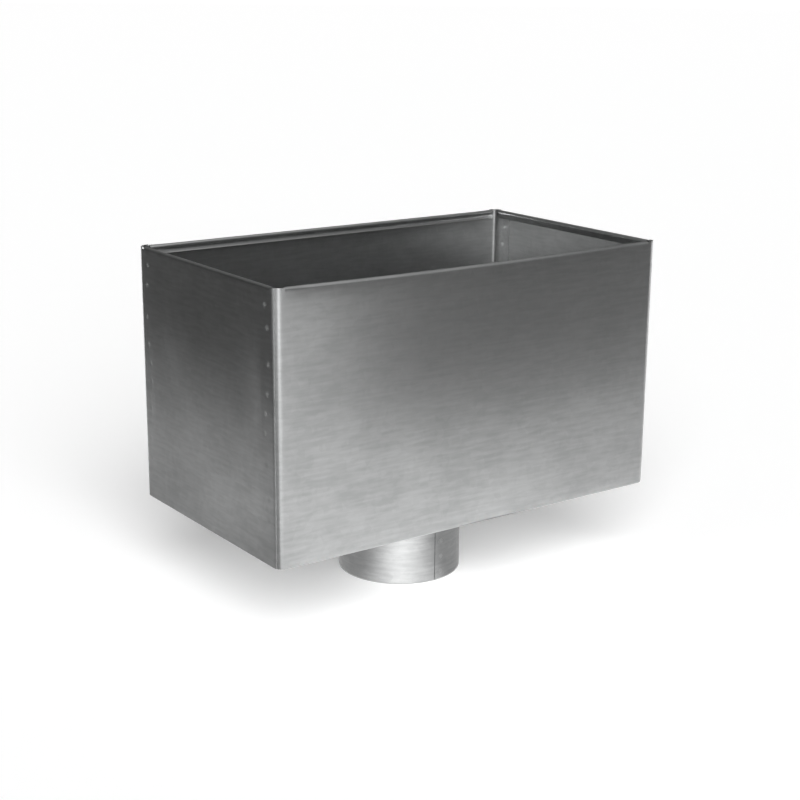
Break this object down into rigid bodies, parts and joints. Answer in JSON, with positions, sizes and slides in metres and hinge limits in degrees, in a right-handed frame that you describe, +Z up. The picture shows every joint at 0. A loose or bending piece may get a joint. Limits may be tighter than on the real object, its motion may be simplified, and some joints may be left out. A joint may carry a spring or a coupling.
{
  "type": "downpipe hopper head",
  "caption": "Open-topped rectangular rainwater hopper of folded galvanised sheet, with hemmed rims, spot-welded ends and a round spigot under its bottom that slips into a downpipe.",
  "frame": {"origin": "on the spigot's axis at its lower end, which is the middle of the underside of the whole piece", "axes": "+Z up out of the open top, +X along the width, +Y from the front to the back that goes against the wall"},
  "size_m": [0.35, 0.2, 0.263],
  "materials": {
    "galvanised_sheet": "hot-dip galvanised sheet, satin, with fine spangle and faint rolling streaks"
  },
  "bodies": {
    "root": {"body_wrap": "galvanised_sheet", "left_end": "galvanised_sheet", "right_end": "galvanised_sheet", "outlet_spigot": "galvanised_sheet"}
  },
  "joints": []
}
